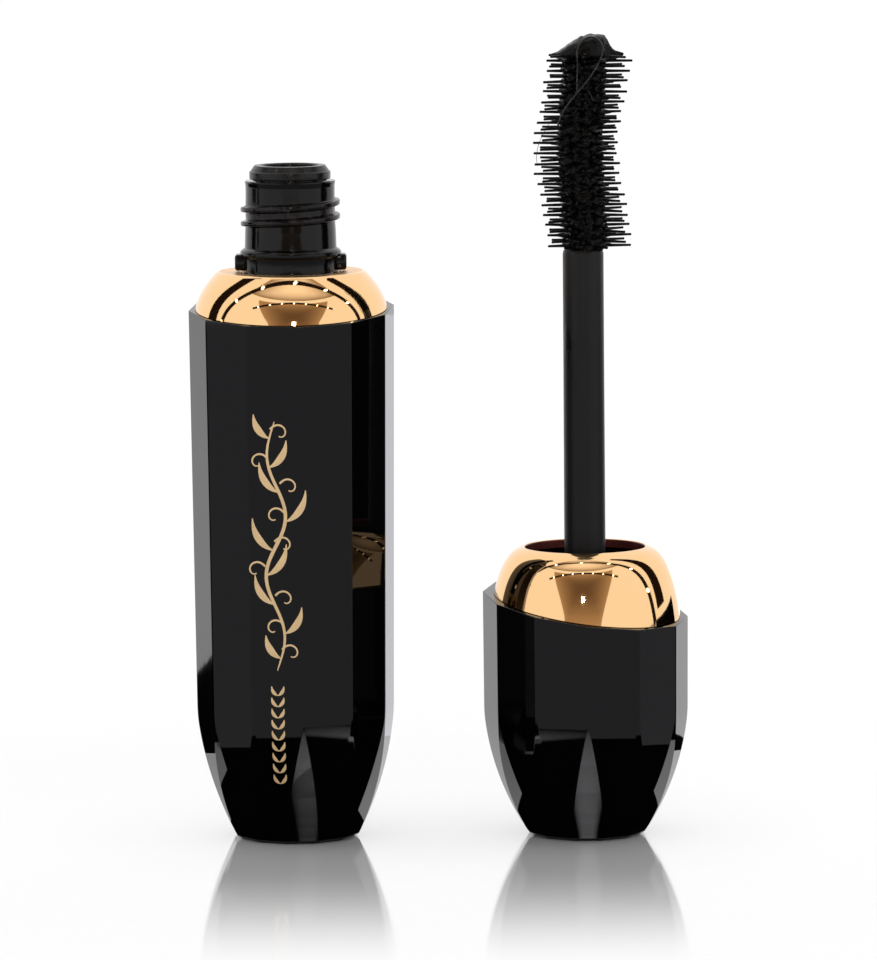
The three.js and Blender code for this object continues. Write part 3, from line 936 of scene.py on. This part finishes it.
def hung(name, mesh, middle):
    """Hangs up a card's mesh, which has a glow colour on each vert. It glows on its inner side only,
    and only mirror-like surfaces see it."""
    for face in mesh.faces:
        face.normal_update()
        inward = Vector((middle.x, middle.y, 100 * MM)) - face.calc_center_median()
        if face.normal.dot(inward) < 0:
            face.normal_flip()
    data = bpy.data.meshes.new(name)
    mesh.to_mesh(data)
    mesh.free()
    material = bpy.data.materials.new(name)
    material.use_nodes = True
    tree = material.node_tree
    tree.nodes.clear()
    glow = Wire(tree).node("Emission", None, {
        "Color": Wire(tree).node("Attribute", {"attribute_name": "glow"}),
    })
    clear = Wire(tree).node("BsdfTransparent")
    behind = Wire(tree).node("NewGeometry", output="Backfacing")
    seen = glow.node("MixShader", None, {0: behind, 1: glow, 2: clear})
    output = tree.nodes.new("ShaderNodeOutputMaterial")
    tree.links.new(seen.socket, output.inputs["Surface"])
    data.materials.append(material)
    panel = bpy.data.objects.new(name, data)
    bpy.context.scene.collection.objects.link(panel)
    panel.visible_camera = False
    panel.visible_diffuse = False
    panel.visible_shadow = False
    panel.visible_transmission = False


def hoop(name, elevation, reach, width, shade, lamp_shade):
    """A narrow band bent over the tube in a plane leaning forward, with small lamps along it. All
    its angles are in degrees, and its reach is to either side of its top."""
    mesh = bmesh.new()
    glow_layer = mesh.verts.layers.float_color.new("glow")
    lean = math.radians(elevation)
    up = Vector((0, -math.cos(lean), math.sin(lean)))
    over = up.cross(Vector((1, 0, 0)))
    rows = []
    for k in range(HOOP_STEPS + 1):
        turn = math.radians(reach * (2 * k / HOOP_STEPS - 1))
        row = []
        for side in (-1, 0, 1):
            way = Vector((1, 0, 0)) * math.sin(turn) + up * math.cos(turn)
            way += over * math.tan(math.radians(width / 2)) * side
            vert = mesh.verts.new(CENTRE + way * HOOP_DISTANCE * MM)
            is_lamp = side == 0 and k % LAMP_SPACING == LAMP_SPACING // 2
            vert[glow_layer] = (*(lamp_shade if is_lamp else shade), 1)
            row.append(vert)
        rows.append(row)
    for row, after in zip(rows, rows[1:]):
        for k in range(2):
            mesh.faces.new((row[k], row[k + 1], after[k + 1], after[k]))
    hung(name, mesh, CENTRE)


def card(name, azimuths, outline, shade, edge=None, middle=CENTRE, foot_width=1.0):
    """A card spun from an outline of (distance, height) in mm between two azimuths in degrees, 0 in
    front and + to the right. It fades to the edge shade, and its foot can be narrower."""
    mesh = bmesh.new()
    verts = [mesh.verts.new((0, -distance * MM, z * MM)) for distance, z in outline]
    edges = [mesh.edges.new(pair) for pair in zip(verts, verts[1:])]
    bmesh.ops.rotate(mesh, verts=verts, cent=(0, 0, 0),
                     matrix=Matrix.Rotation(math.radians(azimuths[0]), 3, "Z"))
    steps = 24
    bmesh.ops.spin(mesh, geom=verts + edges, cent=(0, 0, 0), axis=(0, 0, 1),
                   angle=math.radians(azimuths[1] - azimuths[0]), steps=steps)
    glow_layer = mesh.verts.layers.float_color.new("glow")
    count = len(outline)
    for place, vert in enumerate(mesh.verts):
        across = 2 * (place // count) / steps - 1
        height = (place % count) / max(1, count - 1)
        edging = max(abs(across), abs(2 * height - 1)) ** 2 if edge else 0.0
        drawn_in = across * (azimuths[1] - azimuths[0]) / 2 * (1 - foot_width) * (1 - height)
        vert.co = Matrix.Rotation(math.radians(-drawn_in), 3, "Z") @ vert.co
        mixed = [a + (b - a) * edging for a, b in zip(shade, edge or shade)]
        vert[glow_layer] = (*mixed, 1)
    bmesh.ops.translate(mesh, verts=mesh.verts, vec=(middle.x, middle.y, 0))
    hung(name, mesh, middle)


GREY = (0.36, 0.36, 0.38)
DARK = (0.012, 0.008, 0.006)
HOOP_LAMP = (20, 19, 17)
BLACK = (0.002, 0.002, 0.002)
BROWN = (0.13, 0.085, 0.055)
low_wall = [(60, 0.5), (200, 0.5), (CARD_DISTANCE, 0.5), (CARD_DISTANCE, 37)]
near_table = [(9, 0.4), (40, 0.4), (100, 0.4)]
glow_table = [(0.5, 0.4), (9, 0.4), (20, 0.4), (35, 0.4), (60, 0.4)]
card("front_grey", (-92, 92), low_wall, GREY)
card("left_gap", (-132, -92), low_wall, BLACK)
card("right_gap", (92, 132), low_wall, BLACK)
card("right_back", (152, 172), low_wall, (1.35, 1.35, 1.4))
for foot, lean in ((Vector((0, 0, 0)), 11), (APPLICATOR, 0)):
    card("dark_left", (-92, lean - 9), near_table, BLACK, middle=foot)
    card("dark_right", (lean + 9, 92), near_table, BLACK, middle=foot)
    card("petal_glow", (lean - 9, lean + 9), glow_table, (2.6, 2.6, 2.7), BLACK, middle=foot)
card("left_band", (-112, -97), dome_arc(1, 66), DARK)
card("right_band", (97, 112), dome_arc(1, 66), DARK)
card("front_gap", (-52, 52), dome_arc(3, 46), BROWN, (0.45, 0.33, 0.22), foot_width=0.4)
card("lamp", (-1.7, 1.7), dome_arc(14.3, 17.7, 4, LAMP_DISTANCE), (60, 57, 52))
card("ceiling", (-75, 75), dome_arc(51, 89), (1.15, 1.1, 1.05), (0.3, 0.22, 0.15))
hoop("low_hoop", 47, 42, 3, DARK, HOOP_LAMP)
hoop("high_hoop", 78, 92, 5, DARK, HOOP_LAMP)

room = bpy.data.worlds.new("room")
room.use_nodes = True
room.node_tree.nodes["Background"].inputs["Color"].default_value = (1, 1, 1, 1)
room.node_tree.nodes["Background"].inputs["Strength"].default_value = 1.05
bpy.context.scene.world = room
bpy.context.scene.view_settings.view_transform = "Standard"

lens = bpy.data.cameras.new("camera")
lens.sensor_width = SENSOR
lens.lens = SENSOR * CAMERA_DISTANCE / FIELD_HEIGHT
lens.clip_start = 0.05
camera = bpy.data.objects.new("camera", lens)
back = Vector((0, -math.cos(CAMERA_ELEVATION), math.sin(CAMERA_ELEVATION)))
camera.location = CENTRE + back * CAMERA_DISTANCE
upright = (-back).to_track_quat("-Z", "Y").to_matrix().to_4x4()
camera.matrix_world = (Matrix.Translation(CENTRE + back * CAMERA_DISTANCE) @ upright
                       @ Matrix.Rotation(CAMERA_ROLL, 4, "Z"))
bpy.context.scene.collection.objects.link(camera)
bpy.context.scene.camera = camera
